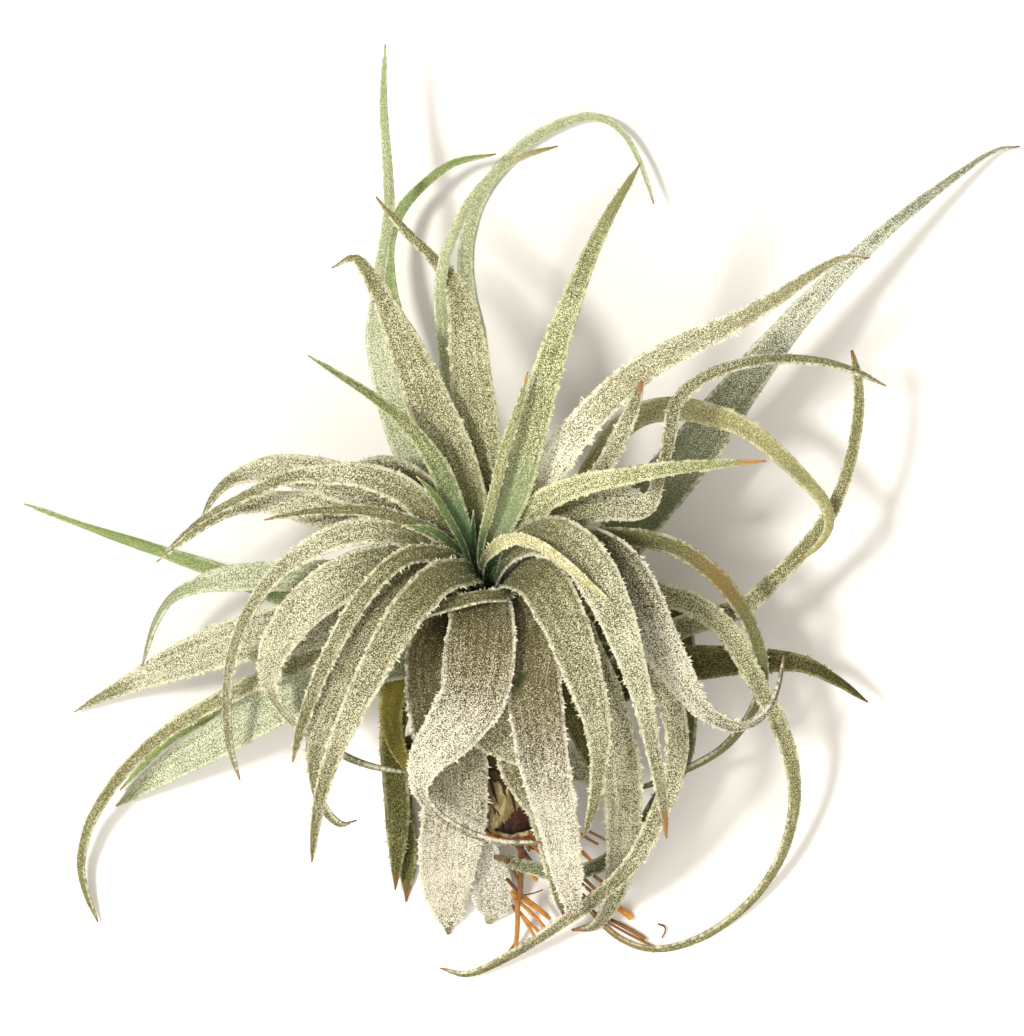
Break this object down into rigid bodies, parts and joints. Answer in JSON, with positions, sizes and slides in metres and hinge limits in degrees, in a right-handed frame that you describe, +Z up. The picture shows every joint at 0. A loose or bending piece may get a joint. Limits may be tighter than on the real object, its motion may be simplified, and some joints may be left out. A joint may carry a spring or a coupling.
{
  "type": "air plant",
  "caption": "Air plant lying on its side: a rosette of long, arching, channelled leaves with a silvery fuzz on a short stem, with a tuft of wiry roots at its foot.",
  "frame": {"origin": "under the middle of the whole plant, on the surface that it lies on", "axes": "+Z up; the stem leans back from its root end at -Y, up and towards +Y; +X is to the right of a viewer who looks down on it with the roots towards them"},
  "size_m": [0.2531, 0.2359, 0.1085],
  "materials": {
    "leaf": "grey-green leaf skin under a dense coat of cream-white scale hairs, matt",
    "young_leaf": "pale green leaf skin, teal towards the heart, with finer white hairs, matt",
    "stem": "dark brown fibrous stem, dull",
    "dry_sheath": "dry tan leaf base, papery",
    "root": "orange-brown wiry root, slightly glossy"
  },
  "bodies": {
    "root": {"heart_leaf_1": "young_leaf", "heart_leaf_2": "young_leaf", "heart_leaf_3": "young_leaf", "heart_leaf_4": "young_leaf", "heart_leaf_5": "young_leaf", "heart_leaf_6": "young_leaf", "heart_leaf_7": "young_leaf", "front_leaf_1": "leaf", "front_leaf_2": "leaf", "front_leaf_3": "leaf", "front_leaf_4": "leaf", "front_leaf_5": "leaf", "front_leaf_6": "leaf", "front_leaf_7": "leaf", "front_leaf_8": "leaf", "front_leaf_9": "leaf", "front_leaf_10": "leaf", "front_leaf_11": "leaf", "front_leaf_12": "leaf", "front_leaf_13": "leaf", "right_leaf_1": "leaf", "right_leaf_2": "leaf", "right_leaf_3": "leaf", "right_leaf_4": "leaf", "right_leaf_5": "leaf", "right_leaf_6": "leaf", "right_leaf_7": "leaf", "right_leaf_8": "leaf", "right_leaf_9": "leaf", "right_leaf_10": "leaf", "back_leaf_1": "leaf", "back_leaf_2": "leaf", "back_leaf_3": "leaf", "back_leaf_4": "leaf", "back_leaf_5": "leaf", "back_leaf_6": "leaf", "back_leaf_7": "leaf", "back_leaf_8": "leaf", "back_leaf_9": "leaf", "back_leaf_10": "leaf", "left_leaf_1": "leaf", "left_leaf_2": "leaf", "left_leaf_3": "leaf", "left_leaf_4": "leaf", "left_leaf_5": "leaf", "left_leaf_6": "leaf", "left_leaf_7": "leaf", "left_leaf_8": "leaf", "left_leaf_9": "leaf", "left_leaf_10": "leaf", "left_leaf_11": "leaf", "left_leaf_12": "leaf", "left_leaf_13": "leaf", "left_leaf_14": "leaf", "left_leaf_15": "leaf", "left_leaf_16": "leaf", "stem": "stem", "dry_sheath": "dry_sheath", "roots": "root"}
  },
  "joints": []
}
